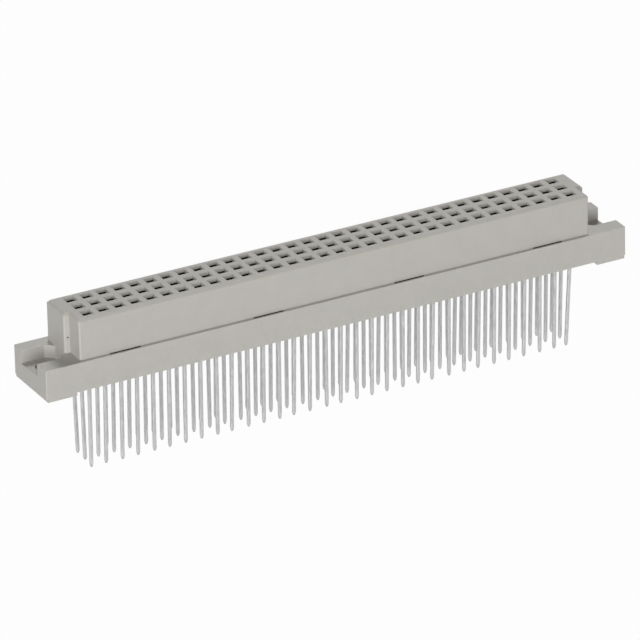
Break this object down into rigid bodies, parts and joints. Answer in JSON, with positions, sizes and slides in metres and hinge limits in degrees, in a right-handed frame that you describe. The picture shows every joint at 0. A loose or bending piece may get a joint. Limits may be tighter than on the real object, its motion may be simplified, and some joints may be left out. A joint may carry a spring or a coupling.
{
  "type": "backplane connector",
  "caption": "Straight three-row female connector for a backplane, with a keyed contact block on a long flange, fixing pockets at both ends and square wrap posts below.",
  "frame": {"origin": "below the middle of the flange, on the plane of the post tips", "axes": "+X along the contact rows, +Y across them away from the front row, +Z out of the mating face"},
  "size_m": [0.0946, 0.0102, 0.0244],
  "materials": {
    "insulator": "light warm grey moulded thermoplastic, satin",
    "contact": "dull tin over a copper alloy"
  },
  "bodies": {
    "root": {"insulator": "insulator", "terminal_plate": "insulator", "contact_front_01": "contact", "contact_front_02": "contact", "contact_front_03": "contact", "contact_front_04": "contact", "contact_front_05": "contact", "contact_front_06": "contact", "contact_front_07": "contact", "contact_front_08": "contact", "contact_front_09": "contact", "contact_front_10": "contact", "contact_front_11": "contact", "contact_front_12": "contact", "contact_front_13": "contact", "contact_front_14": "contact", "contact_front_15": "contact", "contact_front_16": "contact", "contact_front_17": "contact", "contact_front_18": "contact", "contact_front_19": "contact", "contact_front_20": "contact", "contact_front_21": "contact", "contact_front_22": "contact", "contact_front_23": "contact", "contact_front_24": "contact", "contact_front_25": "contact", "contact_front_26": "contact", "contact_front_27": "contact", "contact_front_28": "contact", "contact_front_29": "contact", "contact_front_30": "contact", "contact_front_31": "contact", "contact_front_32": "contact"}
  },
  "joints": []
}
